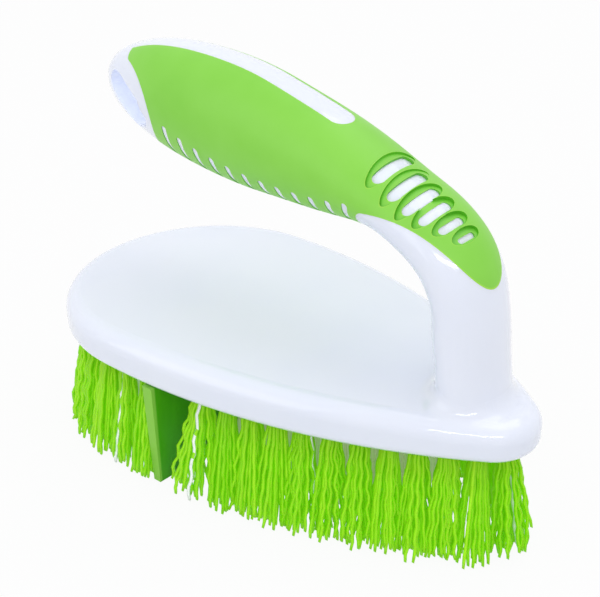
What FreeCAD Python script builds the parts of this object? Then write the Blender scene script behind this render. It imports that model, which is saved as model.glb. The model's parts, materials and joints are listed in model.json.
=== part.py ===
import FreeCAD, Part
import math
import os
import random

import Sketcher

V = FreeCAD.Vector
ALONG = V(1, 0, 0)
ACROSS = V(0, 1, 0)
UP = V(0, 0, 1)

# Driving dimensions in millimetres and degrees. The origin is under the middle of
# the head, on the plane of the bristle tips; +X points at the heel, +Z up.
SIZES = {
    # head, seen from above: two end arcs joined by two long side arcs
    "head_length": 150.0,
    "front_radius": 40.5,
    "heel_radius": 12.5,
    "side_radius": 181.0,
    # head, seen from the side
    "bristle_length": 31.0,
    "rim_height": 10.6,
    "crown_rise": 1.4,
    "crown_radius": 1300.0,
    "shoulder_radius": 4.8,
    "lip_radius": 2.8,
    "rim_wall": 3.4,
    # tuft plate under the head
    "plate_thickness": 8.0,
    "plate_recess": 0.8,
    "fit_gap": 0.2,
    # handle spine, from the foot of the column to the tip
    "column_setback": 17.7,
    "column_lean": 6.9,
    "column_rise": 24.1,
    "bend_radius": 22.2,
    "neck_radius": 66.0,
    "neck_turn": 20.5,
    "grip_radius": 665.0,
    "swell_reach": 45.0,
    "tip_reach": 45.6,
    # handle sections, depth in the plane of the spine and width across it
    "column_depth": 16.4,
    "column_width": 23.2,
    "neck_depth": 16.3,
    "neck_width": 24.6,
    "grip_depth": 33.7,
    "grip_width": 26.2,
    "foot_fillet": 4.5,
    "foot_rise": 12.0,
    "foot_sink": 1.7,
    # soft grip moulded over the handle
    "grip_skin": 2.0,
    "front_line_radius": 13.9,
    "front_line_setback": 12.8,
    "front_line_drop": 5.8,
    "front_line_corner": 2.0,
    "neck_line_radius": 29.7,
    "neck_line_ahead": 3.1,
    "neck_line_drop": 5.4,
    "neck_line_stop": 1.9,
    "under_line_back": 4.9,
    "under_line_round": 3.0,
    # bare strip along the top of the grip
    "strip_length": 76.0,
    "strip_inset": 7.7,
    "strip_width": 7.4,
    "strip_middle_width": 7.4,
    "strip_tip_width": 7.8,
    # slots across the underside of the grip
    "slot_count": 12,
    "slot_pitch": 5.7,
    "slot_lead": 32.4,
    "slot_width": 1.9,
    "slot_tip_width": 0.7,
    "slot_depth": 0.2,
    "slot_run": 14.0,
    "slot_crest": 43.2,
    "slot_line_radius": 112.0,
    "slot_line_middle": 69.8,
    # windows across the back of the neck, each smaller than the one before, in a row
    # that bows to one side; each lies in a recess that steps in towards the tip
    "window_count": 6,
    "window_lead": 8.8,
    "window_pitch": 5.4,
    "window_pitch_ratio": 0.88,
    "window_shift": 1.7,
    "window_bow": 2.2,
    "window_length": 13.8,
    "window_length_step": 0.8,
    "window_length_fade": 0.17,
    "window_width": 3.5,
    "window_width_step": 0.1,
    "window_width_fade": 0.06,
    "window_depth": 0.95,
    "window_reach": 3.0,
    "recess_depth": 0.85,
    "recess_ahead": 1.9,
    "recess_behind": 0.6,
    "recess_end": 1.7,
    # eye for hanging, through the tip
    "eye_length": 17.5,
    "eye_width": 6.4,
    "eye_setback": 13.5,
    "eye_drop": 2.6,
    "eye_rake": 48.0,
    "eye_flare": 1.8,
    # scraper blade across the head
    "scraper_setback": 56.0,
    "blade_width": 79.4,
    "blade_end_taper": 2.0,
    "blade_thickness": 3.4,
    "blade_edge_thickness": 2.4,
    "blade_lift": 0.1,
    "tongue_width": 56.0,
    "flange_thickness": 7.4,
    "flange_height": 2.4,
    # tufts
    "ring_inset": 7.5,
    "ring_pitch": 7.4,
    "ring_splay": 3.6,
    "row_margin": 8.4,
    "row_pitch": 8.8,
    "tuft_pitch": 9.0,
    "tuft_tip_radius": 3.6,
    "tuft_hole_radius": 2.4,
    "tuft_hole_depth": 6.2,
    "tuft_play": 0.1,
    "gap_ahead": 5.4,
    "gap_behind": 13.6,
    "anchor_thickness": 0.4,
    "anchor_height": 1.6,
    # screws that hold the tuft plate to the head
    "screw_radius": 1.5,
    "screw_head_radius": 2.8,
    "screw_head_height": 1.8,
    "screw_length": 7.0,
    "screw_point": 1.0,
    "screw_tip_radius": 0.6,
    "screw_crown_radius": 1.7,
    "screw_edge_height": 1.1,
    "screw_room": 6.0,
    "boss_radius": 3.5,
    "boss_height": 3.0,
    "web_thickness": 2.4,
    "heel_screw_setback": 26.0,
    "front_screw_setback": 24.0,
    "side_screw_setback": 65.0,
    "side_screw_spread": 44.0,
}

OVAL_POINTS = 16
FRONT_LINE_END = -40
SHOULDER_TURN = 45
RAMP_SHARES = (-0.4, 1.4)
TOUCH = 0.001
TUFT_LOBES = 8
TUFT_WAIST = 0.78
TUFT_SEED = 7

doc = FreeCAD.newDocument("scrub_brush")
sheet = doc.addObject("Spreadsheet::Sheet", "Sizes")
for row, (alias, value) in enumerate(SIZES.items(), 1):
    sheet.set(f"A{row}", alias)
    sheet.set(f"B{row}", str(value))
    sheet.setAlias(f"B{row}", alias)
doc.recompute()


def size(alias):
    return float(sheet.get(alias))


# Levels shared by the pieces, from the bristle tips up
rim_bottom = size("bristle_length")
rim_top = rim_bottom + size("rim_height")
plate_bottom = rim_bottom + size("plate_recess")
plate_top = plate_bottom + size("plate_thickness")
web_bottom = plate_top - size("boss_height") - size("fit_gap") - size("web_thickness")
half_length = size("head_length") / 2
scraper_x = size("scraper_setback") - half_length
BEYOND = 2 * size("head_length")


# Small helpers

def part_feature(name, shape):
    feature = doc.addObject("Part::Feature", name)
    feature.Shape = shape
    return feature


def boolean(kind, name, base, tool):
    result = doc.addObject("Part::" + kind, name)
    result.Base = base
    result.Tool = tool
    return result


def fuse_all(name, shapes):
    result = doc.addObject("Part::MultiFuse", name)
    result.Shapes = shapes
    return result


def bound_cylinder(name, radius, height, place):
    """Upright cylinder; radius, height and the three coordinates are expressions."""
    cylinder = doc.addObject("Part::Cylinder", name)
    cylinder.setExpression("Radius", radius)
    cylinder.setExpression("Height", height)
    for axis, expression in zip("xyz", place):
        cylinder.setExpression("Placement.Base." + axis, expression)
    return cylinder


def sketch_on(body, role, name):
    sketch = body.newObject("Sketcher::SketchObject", name)
    plane = next(item for item in body.Origin.OriginFeatures if item.Role == role)
    sketch.AttachmentSupport = (plane, [""])
    sketch.MapMode = "FlatFace"
    return sketch


def bind(sketch, constraint, name, expression):
    index = sketch.addConstraint(constraint)
    sketch.renameConstraint(index, name)
    sketch.setExpression("Constraints." + name, expression)


def polygon_sketch(body, role, name, corners):
    """Closed outline whose corners are pairs of expressions."""
    sketch = sketch_on(body, role, name)
    points = [V(sheet_value(across), sheet_value(up), 0) for across, up in corners]
    count = len(points)
    for i in range(count):
        sketch.addGeometry(Part.LineSegment(points[i], points[(i + 1) % count]))
    for i in range(count):
        sketch.addConstraint(Sketcher.Constraint("Coincident", i, 2, (i + 1) % count, 1))
    for i, (across, up) in enumerate(corners):
        bind(sketch, Sketcher.Constraint("DistanceX", -1, 1, i, 1, points[i].x), f"across_{i}", across)
        bind(sketch, Sketcher.Constraint("DistanceY", -1, 1, i, 1, points[i].y), f"up_{i}", up)
    return sketch


def sheet_value(expression):
    """Value of an expression on the sheet's aliases, worked out by the sheet itself."""
    sheet.set("D1", "=" + expression.replace("Sizes.", ""))
    sheet.recompute()
    return float(sheet.get("D1"))


def side_profile(edges, half_width=BEYOND):
    """Solid from a closed outline in the plane y = 0, drawn out to both sides."""
    face = Part.Face(Part.Wire(edges))
    face.translate(V(0, -half_width, 0))
    return face.extrude(V(0, 2 * half_width, 0))


def line(start, end):
    return Part.LineSegment(start, end).toShape()


def arc(start, middle, end):
    return Part.Arc(start, middle, end).toShape()


# Head outline: the centre of the side arcs follows from tangency with both end arcs

front_x = size("front_radius") - half_length
heel_x = half_length - size("heel_radius")


def side_centre():
    reach_front = size("side_radius") - size("front_radius")
    reach_heel = size("side_radius") - size("heel_radius")
    span = heel_x - front_x
    along = (reach_front ** 2 - reach_heel ** 2 + span ** 2) / (2 * span)
    return front_x + along, math.sqrt(reach_front ** 2 - along ** 2)


side_x, side_y = side_centre()
front_joint = math.atan2(side_y, front_x - side_x)
heel_joint = math.atan2(side_y, heel_x - side_x)


def egg_body(name, inset_sizes, level, height):
    """Head outline drawn in by the named sizes, raised from a level by a height."""
    inset = sum(size(alias) for alias in inset_sizes)
    less = "".join(f" - Sizes.{alias}" for alias in inset_sizes)
    body = doc.addObject("PartDesign::Body", name)
    sketch = sketch_on(body, "XY_Plane", name + "_outline")
    sketch.setExpression("AttachmentOffset.Base.z", level)

    def end_or_side(x, y, alias, start, end):
        circle = Part.Circle(V(x, y, 0), UP, size(alias) - inset)
        return sketch.addGeometry(Part.ArcOfCircle(circle, start, end))

    heel = end_or_side(heel_x, 0, "heel_radius", -heel_joint, heel_joint)
    left = end_or_side(side_x, -side_y, "side_radius", heel_joint, front_joint)
    front = end_or_side(front_x, 0, "front_radius", front_joint, 2 * math.pi - front_joint)
    right = end_or_side(side_x, side_y, "side_radius", -front_joint, -heel_joint)
    for one, other in ((heel, left), (left, front), (front, right), (right, heel)):
        sketch.addConstraint(Sketcher.Constraint("Tangent", one, 2, other, 1))
    for end_arc in (heel, front):
        sketch.addConstraint(Sketcher.Constraint("PointOnObject", end_arc, 3, -1))
    sketch.addConstraint(Sketcher.Constraint("Equal", left, right))
    for arc_index, alias in ((heel, "heel_radius"), (front, "front_radius"), (left, "side_radius")):
        radius = Sketcher.Constraint("Radius", arc_index, size(alias) - inset)
        bind(sketch, radius, alias, f"Sizes.{alias}{less}")
    bind(sketch, Sketcher.Constraint("DistanceX", -1, 1, heel, 3, heel_x), "heel_place",
         "Sizes.head_length / 2 - Sizes.heel_radius")
    bind(sketch, Sketcher.Constraint("DistanceX", front, 3, -1, 1, -front_x), "front_place",
         "Sizes.head_length / 2 - Sizes.front_radius")
    pad = body.newObject("PartDesign::Pad", name + "_pad")
    pad.Profile = sketch
    pad.setExpression("Length", height)
    return body


# Head cover: egg-shaped blank under a shallow crown, rounded, with a cavity for the plate

def head_cover():
    blank = egg_body("head_blank", (), "Sizes.bristle_length", "Sizes.rim_height + Sizes.crown_rise")
    crown = doc.addObject("Part::Sphere", "crown")
    crown.setExpression("Radius", "Sizes.crown_radius")
    crown.setExpression(
        "Placement.Base.z",
        "Sizes.bristle_length + Sizes.rim_height + Sizes.crown_rise - Sizes.crown_radius")
    crowned = boolean("Common", "crowned_head", blank, crown)
    doc.recompute()
    rounded = doc.addObject("Part::Fillet", "rounded_head")
    rounded.Base = crowned
    edges = []
    for index, edge in enumerate(crowned.Shape.Edges, 1):
        low, high = edge.BoundBox.ZMin, edge.BoundBox.ZMax
        if high < rim_bottom + size("lip_radius"):
            edges.append((index, size("lip_radius"), size("lip_radius")))
        elif low > rim_bottom + size("shoulder_radius") / 2:
            edges.append((index, size("shoulder_radius"), size("shoulder_radius")))
    rounded.Edges = edges
    cavity = egg_body("plate_cavity", ("rim_wall",), "Sizes.bristle_length",
                      "Sizes.plate_recess + Sizes.plate_thickness")
    return boolean("Cut", "head_shell", rounded, cavity)


# Screws: heel, front and a pair at the sides; each has a boss on the head's ceiling

HEEL_SCREW = ("Sizes.head_length / 2 - Sizes.heel_screw_setback", "0")
FRONT_SCREW = ("Sizes.front_screw_setback - Sizes.head_length / 2", "0")
LEFT_SCREW = ("Sizes.side_screw_setback - Sizes.head_length / 2", "Sizes.side_screw_spread / 2")
RIGHT_SCREW = ("Sizes.side_screw_setback - Sizes.head_length / 2", "-Sizes.side_screw_spread / 2")
SCREWS = {"heel": HEEL_SCREW, "front": FRONT_SCREW, "left": LEFT_SCREW, "right": RIGHT_SCREW}
PLATE_TOP = "Sizes.bristle_length + Sizes.plate_recess + Sizes.plate_thickness"
WEB_BOTTOM = PLATE_TOP + " - Sizes.boss_height - Sizes.fit_gap - Sizes.web_thickness"


def screw_places():
    return [V(sheet_value(x), sheet_value(y), 0) for x, y in SCREWS.values()]


def bosses():
    return [bound_cylinder(name + "_boss", "Sizes.boss_radius", "Sizes.boss_height + Sizes.screw_radius",
                           (x, y, PLATE_TOP + " - Sizes.boss_height"))
            for name, (x, y) in SCREWS.items()]


def pilot_holes():
    holes = [bound_cylinder(name + "_pilot", "Sizes.screw_radius", "Sizes.screw_length + Sizes.fit_gap",
                            (x, y, WEB_BOTTOM))
             for name, (x, y) in SCREWS.items()]
    return fuse_all("pilot_holes", holes)


def plate_screws():
    """One turned screw, set head down under the plate's web at each boss."""
    body = doc.addObject("PartDesign::Body", "screw_pattern")
    head = "Sizes.screw_head_radius"
    shank = "Sizes.screw_radius"
    outline = polygon_sketch(body, "XZ_Plane", "screw_outline", (
        ("0", "-Sizes.screw_head_height"),
        ("Sizes.screw_crown_radius", "-Sizes.screw_head_height"),
        (head, "-Sizes.screw_edge_height"),
        (head, "0"),
        (shank, "0"),
        (shank, "Sizes.screw_length - Sizes.screw_point"),
        ("Sizes.screw_tip_radius", "Sizes.screw_length"),
        ("0", "Sizes.screw_length"),
    ))
    turned = body.newObject("PartDesign::Revolution", "screw_turned")
    turned.Profile = outline
    turned.ReferenceAxis = (outline, ["V_Axis"])
    doc.recompute()
    copies = []
    for place in screw_places():
        copy = body.Shape.copy()
        copy.translate(place + V(0, 0, web_bottom))
        copies.append(copy)
    return part_feature("plate_screws", Part.makeCompound(copies))


# Handle spine in the plane y = 0: a leaning column, a tight bend, the neck and the grip

grip_length = size("swell_reach") + size("tip_reach")
grip_turn = math.degrees(grip_length / size("grip_radius"))
bend_turn = 90 - size("column_lean") - size("neck_turn") - grip_turn
bend_length = math.radians(bend_turn) * size("bend_radius")
neck_length = math.radians(size("neck_turn")) * size("neck_radius")
SPINE_RUNS = (
    (size("column_rise"), None),
    (bend_length, size("bend_radius")),
    (neck_length, size("neck_radius")),
    (grip_length, size("grip_radius")),
)
bend_start = size("column_rise")
neck_start = bend_start + bend_length
thin_place = neck_start + neck_length / 2
grip_start = neck_start + neck_length
full_place = grip_start + size("swell_reach")
tip_place = grip_start + grip_length


def spine(distance):
    """Point, heading in radians and bend radius of the spine, by distance from its foot."""
    point = V(half_length - size("column_setback"), 0, rim_top)
    heading = math.radians(90 + size("column_lean"))
    left = distance
    for length, radius in SPINE_RUNS:
        step = min(left, length)
        if radius is None:
            point += V(math.cos(heading), 0, math.sin(heading)) * step
        else:
            turned = heading + step / radius
            point += V(math.sin(turned) - math.sin(heading), 0, math.cos(heading) - math.cos(turned)) * radius
            heading = turned
        left -= step
        if left <= 0:
            break
    return point, heading, radius


def outward(heading):
    return V(math.sin(heading), 0, -math.cos(heading))


def forward(heading):
    return V(math.cos(heading), 0, math.sin(heading))


def blend(start, end, share):
    return start + (end - start) * share


def handle_size(distance):
    """Depth and width of the handle: column, thin neck, full grip, rounded tip."""
    column = (size("column_depth"), size("column_width"))
    neck = (size("neck_depth"), size("neck_width"))
    grip = (size("grip_depth"), size("grip_width"))
    if distance <= bend_start:
        return column
    if distance <= thin_place:
        share = (distance - bend_start) / (thin_place - bend_start)
        return tuple(blend(a, b, share) for a, b in zip(column, neck))
    if distance <= full_place:
        share = math.sin(math.pi / 2 * (distance - thin_place) / (full_place - thin_place))
        return tuple(blend(a, b, share) for a, b in zip(neck, grip))
    fall = math.sqrt(max(0.0, 1 - ((distance - full_place) / size("tip_reach")) ** 2))
    return tuple(value * fall for value in grip)


def oval(centre, first, second):
    """Closed oval on two half axes, its seam at the end of the second; all ovals share their knots."""
    turns = [2 * math.pi * i / OVAL_POINTS for i in range(OVAL_POINTS)]
    curve = Part.BSplineCurve()
    curve.interpolate(Points=[centre + first * math.sin(turn) + second * math.cos(turn) for turn in turns],
                      PeriodicFlag=True, Parameters=[i / OVAL_POINTS for i in range(OVAL_POINTS + 1)])
    return Part.Wire(curve.toShape())


def handle_oval(distance, skin=0.0):
    point, heading, _ = spine(distance)
    depth, width = handle_size(distance)
    return oval(point, outward(heading) * (depth / 2 - skin), ACROSS * (width / 2 - skin))


BEND_SHARES = (0.0, 0.33, 0.67, 1.0)
SWELL_SHARES = (0.0, 0.3, 0.65, 1.0)
TIP_ANGLES = (22, 42, 58, 71, 81)
bend_places = [bend_start + share * bend_length for share in BEND_SHARES]
swell_places = [grip_start + share * size("swell_reach") for share in SWELL_SHARES]
tip_places = [full_place + size("tip_reach") * math.sin(math.radians(angle)) for angle in TIP_ANGLES]


def foot_ovals():
    """Level ovals of the column, from inside the head's crown up to where it turns square."""
    base = spine(0)[0]
    lean = math.tan(math.radians(size("column_lean")))
    depth, width = handle_size(0)
    ovals = []
    for height in (-size("foot_sink"), size("foot_fillet"), size("foot_rise")):
        centre = base + V(-lean * height, 0, height)
        ovals.append(oval(centre, ALONG * depth / 2, ACROSS * width / 2))
    return ovals


def handle_form():
    """Whole handle, column and tip included, before anything is cut from it."""
    places = bend_places + [thin_place] + swell_places + tip_places
    sections = foot_ovals() + [handle_oval(place) for place in places]
    sections.append(Part.Vertex(spine(tip_place)[0]))
    return part_feature("handle_form", Part.makeLoft(sections, True, False))


def core_form(name, skin):
    """The handle drawn in by a skin, from the column to short of the tip."""
    places = [size("foot_rise")] + bend_places + [thin_place] + swell_places + tip_places[:-1]
    sections = [handle_oval(place, skin) for place in places]
    return part_feature(name, Part.makeLoft(sections, True, False))


# Soft grip: a skin between the handle's form and its core, bounded in the side view

def grip_region():
    """Everything behind the grip's front line, which curves round the bare tip."""
    centre = spine(tip_place)[0] + V(size("front_line_setback"), 0, -size("front_line_drop"))
    reach = size("front_line_radius")
    rounding = size("front_line_corner")
    corner = centre + V(rounding, 0, math.sqrt((reach + rounding) ** 2 - rounding ** 2))
    on_line = corner - V(rounding, 0, 0)
    on_arc = centre + (corner - centre) * (reach / (reach + rounding))
    between = corner + ((on_line - corner).normalize() + (on_arc - corner).normalize()).normalize() * rounding
    turn = math.radians(FRONT_LINE_END)
    low = centre + V(math.cos(turn), 0, math.sin(turn)) * reach
    floor = V(low.x, 0, rim_top)
    far_floor = V(BEYOND, 0, rim_top)
    far_top = V(BEYOND, 0, BEYOND)
    top = V(on_line.x, 0, BEYOND)
    edges = [
        line(top, on_line),
        arc(on_line, between, on_arc),
        arc(on_arc, centre + V(reach, 0, 0), low),
        line(low, floor),
        line(floor, far_floor),
        line(far_floor, far_top),
        line(far_top, top),
    ]
    return part_feature("grip_region", side_profile(edges))


def bare_neck():
    """Inner side of the neck and the column, left bare below a round line."""
    start, heading, _ = spine(bend_start)
    bend_centre = start - outward(heading) * size("bend_radius")
    centre = bend_centre + V(size("neck_line_ahead"), 0, -size("neck_line_drop"))
    reach = size("neck_line_radius")
    rounding = size("under_line_round")
    under_x = bend_centre.x - size("under_line_back")
    across = under_x + rounding - centre.x
    corner = centre + V(across, 0, math.sqrt((reach - rounding) ** 2 - across ** 2))
    on_line = V(under_x, 0, corner.z)
    on_arc = centre + (corner - centre) * (reach / (reach - rounding))
    middle = corner + ((on_line - corner).normalize() + (on_arc - corner).normalize()).normalize() * rounding
    top = centre + V(0, 0, reach)
    stop = size("neck_line_stop")
    back = centre + V(math.sqrt(reach ** 2 - stop ** 2), 0, stop)
    turn = math.radians(SHOULDER_TURN)
    shoulder = centre + V(math.cos(turn), 0, math.sin(turn)) * reach
    far = V(half_length + size("heel_radius"), 0, back.z)
    low_far = V(far.x, 0, rim_bottom)
    low = V(under_x, 0, rim_bottom)
    edges = [
        line(low, on_line),
        arc(on_line, middle, on_arc),
        arc(on_arc, top, back) if on_arc.x < centre.x else arc(on_arc, shoulder, back),
        line(back, far),
        line(far, low_far),
        line(low_far, low),
    ]
    return part_feature("bare_neck", side_profile(edges))


def bare_strip():
    """Long tapering window along the top ridge, round at the neck, open at the tip."""
    level = spine(full_place)[0].z
    centre = V(spine(grip_start)[0].x - size("strip_inset"), 0, level)
    wide = size("strip_width") / 2
    middle = size("strip_middle_width") / 2
    narrow = size("strip_tip_width") / 2
    tip_x = centre.x - size("strip_length")
    middle_x = centre.x - size("strip_length") / 2
    left = [centre + V(0, wide, 0), V(middle_x, middle, level), V(tip_x, narrow, level)]
    right = [V(point.x, -point.y, point.z) for point in left]
    edges = [
        arc(right[0], centre + V(wide, 0, 0), left[0]),
        arc(*left),
        line(left[2], right[2]),
        arc(*reversed(right)),
    ]
    return part_feature("bare_strip", Part.Face(Part.Wire(edges)).extrude(UP * size("grip_depth")))


def under_slots():
    """Round-topped tapering slots across the underside; their tops lie on a shallow arc."""
    tip = spine(tip_place)[0]
    half = size("slot_width") / 2
    tip_half = size("slot_tip_width") / 2
    slots = []
    for i in range(int(size("slot_count"))):
        point, heading, _ = spine(tip_place - size("slot_lead") - i * size("slot_pitch"))
        off_middle = point.x - tip.x - size("slot_line_middle")
        top_z = rim_top + size("slot_crest") + off_middle ** 2 / (2 * size("slot_line_radius"))
        up = outward(heading)
        along = forward(heading)
        top = point + up * ((top_z - point.z) / up.z)
        neck = top - up * half
        low = neck - up * size("slot_run")
        edges = [
            line(low + along * tip_half, neck + along * half),
            arc(neck + along * half, top, neck - along * half),
            line(neck - along * half, low - along * tip_half),
            line(low - along * tip_half, low + along * tip_half),
        ]
        slots.append(side_profile(edges))
    return slots


def window_rows():
    """Place on the spine, sideways shift, half length and half width of each window."""
    place = grip_start - size("window_lead")
    pitch = size("window_pitch")
    count = int(size("window_count"))
    rows = []
    for i in range(count):
        shift = size("window_shift") + size("window_bow") * math.sin(math.pi * i / max(count - 1, 1))
        length = size("window_length") - i * size("window_length_step") - i * i * size("window_length_fade")
        width = size("window_width") - i * size("window_width_step") - i * i * size("window_width_fade")
        rows.append((place, shift, length / 2, width / 2))
        place -= pitch
        pitch *= size("window_pitch_ratio")
    return rows


def window_frame(place, shift):
    """Middle of a window on the back of the neck, with its directions along and up."""
    point, heading, _ = spine(place)
    up = outward(heading)
    middle = point + up * (handle_size(place)[0] / 2) - ACROSS * shift
    return middle, forward(heading), up


def neck_windows():
    """Long round-ended holes through the skin on the back of the neck."""
    windows = []
    for place, shift, half_length, half_width in window_rows():
        middle, along, up = window_frame(place, shift)
        low = middle - up * half_length
        side = along * half_width
        straight = ACROSS * (half_length - half_width)
        end = ACROSS * half_length
        outline = Part.Wire([
            line(low + side - straight, low + side + straight),
            arc(low + side + straight, low + end, low - side + straight),
            line(low - side + straight, low - side - straight),
            arc(low - side - straight, low - end, low + side - straight),
        ])
        windows.append(Part.Face(outline).extrude(up * (half_length + size("window_reach"))))
    return windows


def window_recesses():
    """Oval recess round each window: a step towards the tip, then a ramp back to the surface."""
    ahead = size("recess_ahead")
    behind = size("recess_behind")
    recesses = []
    for place, shift, half_length, half_width in window_rows():
        middle, along, up = window_frame(place, shift)
        reach = half_width + (ahead + behind) / 2
        low = middle + along * (ahead - behind) / 2 - up * half_length
        outline = oval(low, along * reach, ACROSS * (half_length + size("recess_end")))
        bar = Part.Face(outline).extrude(up * (half_length + size("window_reach")))
        radius = spine(place)[2]
        stretch = 1 + handle_size(place)[0] / 2 / radius
        run = 2 * reach / stretch
        flush_place = place - (half_width + behind) / stretch
        ramp = [handle_oval(flush_place + share * run, share * size("recess_depth"))
                for share in RAMP_SHARES]
        recesses.append(bar.cut(Part.makeLoft(ramp, True, True)))
    return recesses


def hanging_eye():
    """Long eye through the tip, in line with the grip's front, flared at both mouths."""
    place = tip_place - size("eye_setback")
    point, heading, _ = spine(place)
    centre = point - outward(heading) * size("eye_drop")
    rake = math.radians(size("eye_rake"))
    along = V(-math.sin(rake), 0, math.cos(rake))
    aside = V(math.cos(rake), 0, math.sin(rake))

    def eye_wire(y, grow):
        half = size("eye_width") / 2 + grow
        middle = centre + V(0, y, 0)
        top = middle + along * (size("eye_length") - size("eye_width")) / 2
        bottom = middle - along * (size("eye_length") - size("eye_width")) / 2
        return Part.Wire([
            line(bottom + aside * half, top + aside * half),
            arc(top + aside * half, top + along * half, top - aside * half),
            line(top - aside * half, bottom - aside * half),
            arc(bottom - aside * half, bottom - along * half, bottom + aside * half),
        ])

    half_width = handle_size(place)[1] / 2
    throat = half_width - size("eye_flare")
    mouth = half_width + size("eye_flare")
    passage = Part.makeLoft([eye_wire(-throat, 0), eye_wire(throat, 0)], True, True)
    flares = [Part.makeLoft([eye_wire(sign * throat, 0), eye_wire(sign * mouth, mouth - throat)], True, True)
              for sign in (-1, 1)]
    return part_feature("hanging_eye", passage.fuse(flares))


# Tuft plate with its holes, the scraper's slot and the screw seats

def half_width_at(x, inset):
    """Half the width of the head's outline at x, drawn in by an inset."""
    if x < front_x + (size("front_radius") - inset) * math.cos(front_joint):
        square = (size("front_radius") - inset) ** 2 - (x - front_x) ** 2
        return math.sqrt(square) if square > 0 else -1.0
    return math.sqrt((size("side_radius") - inset) ** 2 - (x - side_x) ** 2) - side_y


def ring_places():
    """Points and outward directions on half the drawn-in outline, even on each side of the blade."""
    inset = size("ring_inset")
    front_arc = (math.pi - front_joint) * (size("front_radius") - inset)
    side_arc = (front_joint - heel_joint) * (size("side_radius") - inset)
    heel_arc = heel_joint * (size("heel_radius") - inset)

    def side_run(x):
        turn = math.acos((x - side_x) / (size("side_radius") - inset))
        return front_arc + (front_joint - turn) * (size("side_radius") - inset)

    runs = ((0.0, side_run(scraper_x - size("gap_ahead"))),
            (side_run(scraper_x + size("gap_behind")), front_arc + side_arc + heel_arc))
    distances = []
    for start, end in runs:
        count = max(1, round((end - start) / size("ring_pitch")))
        distances += [start + (end - start) * i / count for i in range(count + 1)]
    places = []
    for along in distances:
        if along <= front_arc:
            turn = math.pi - along / (size("front_radius") - inset)
            centre, radius = V(front_x, 0, 0), size("front_radius")
        elif along <= front_arc + side_arc:
            turn = front_joint - (along - front_arc) / (size("side_radius") - inset)
            centre, radius = V(side_x, -side_y, 0), size("side_radius")
        else:
            turn = heel_joint - (along - front_arc - side_arc) / (size("heel_radius") - inset)
            centre, radius = V(heel_x, 0, 0), size("heel_radius")
        aim = V(math.cos(turn), math.sin(turn), 0)
        places.append((centre + aim * (radius - inset), aim))
    return places


def ring_groups():
    """Outer tufts by name: round the front, down each side and round the heel."""
    groups = {"green_tufts_front": [],
              "green_tufts_left": [],
              "green_tufts_right": [],
              "green_tufts_heel": []}
    for point, aim in ring_places():
        middle = abs(point.y) < size("tuft_hole_radius")
        for sign in ((1,) if middle else (1, -1)):
            place = V(point.x, 0 if middle else sign * point.y, 0)
            lean = V(aim.x, 0 if middle else sign * aim.y, 0) * size("ring_splay")
            if point.x < scraper_x:
                name = "green_tufts_front"
            elif point.x > heel_x - size("heel_radius"):
                name = "green_tufts_heel"
            else:
                name = "green_tufts_left" if sign > 0 else "green_tufts_right"
            groups[name].append((place, lean))
    return groups


def row_groups():
    """Inner tufts in straight rows across the head, counted from the front."""
    margin = size("ring_inset") + size("row_margin")
    ahead = scraper_x - size("gap_ahead") - size("tuft_hole_radius")
    behind = scraper_x + size("gap_behind")
    stations = []
    x = ahead
    while x > -half_length + margin:
        stations.insert(0, x)
        x -= size("row_pitch")
    x = behind
    while half_width_at(x, margin) > 0:
        stations.append(x)
        x += size("row_pitch")
    screws = screw_places()
    groups = {}
    for number, x in enumerate(stations, 1):
        width = 2 * half_width_at(x, margin)
        count = int(width // size("tuft_pitch")) + 1
        row = []
        for i in range(count):
            place = V(x, (i - (count - 1) / 2) * size("tuft_pitch"), 0)
            if all((place - screw).Length > size("screw_room") for screw in screws):
                row.append((place, V(0, 0, 0)))
        if row:
            groups[f"white_tuft_row_{number}"] = row
    return groups


def star(centre, radius, turn):
    """Lobed outline of a bundle of filaments."""
    points = []
    for i in range(2 * TUFT_LOBES):
        reach = radius if i % 2 == 0 else radius * TUFT_WAIST
        angle = turn + math.pi * i / TUFT_LOBES
        points.append(centre + V(math.cos(angle), math.sin(angle), 0) * reach)
    return Part.makePolygon(points + points[:1])


def tuft(place, lean, turn):
    """Bundle folded round its anchor at the bottom of the hole and spread at the tip."""
    root_radius = size("tuft_hole_radius") - size("tuft_play")
    root = V(place.x, place.y, plate_bottom + size("tuft_hole_depth"))
    mouth = V(place.x, place.y, plate_bottom)
    tip = V(place.x + lean.x, place.y + lean.y, 0)
    bundle = Part.makeLoft([
        star(root, root_radius, turn),
        star(mouth, root_radius, turn),
        star(tip, size("tuft_tip_radius"), turn),
    ], True, True)
    return bundle.cut(anchor(place, turn))


def anchor(place, turn):
    """Flat metal strip across the hole that pins the tuft's fold."""
    length = 2 * size("tuft_hole_radius")
    thickness = size("anchor_thickness")
    strip = Part.makeBox(length, thickness, size("anchor_height"), V(-length / 2, -thickness / 2, 0))
    strip.rotate(V(0, 0, 0), UP, math.degrees(turn))
    strip.translate(V(place.x, place.y, plate_bottom + size("tuft_hole_depth") - size("anchor_height")))
    return strip


def tuft_nodes(groups):
    chance = random.Random(TUFT_SEED)
    features = []
    anchors = []
    for name, places in groups.items():
        tufts = []
        for place, lean in places:
            turn = chance.uniform(0, math.pi)
            tufts.append(tuft(place, lean, turn))
            anchors.append(anchor(place, turn))
        features.append(part_feature(name, Part.makeCompound(tufts)))
    features.append(part_feature("tuft_anchors", Part.makeCompound(anchors)))
    return features


def tuft_holes(groups):
    radius = size("tuft_hole_radius")
    holes = [Part.makeCylinder(radius, size("tuft_hole_depth"), V(place.x, place.y, plate_bottom))
             for places in groups.values() for place, lean in places]
    return part_feature("tuft_holes", Part.makeCompound(holes))


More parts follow.
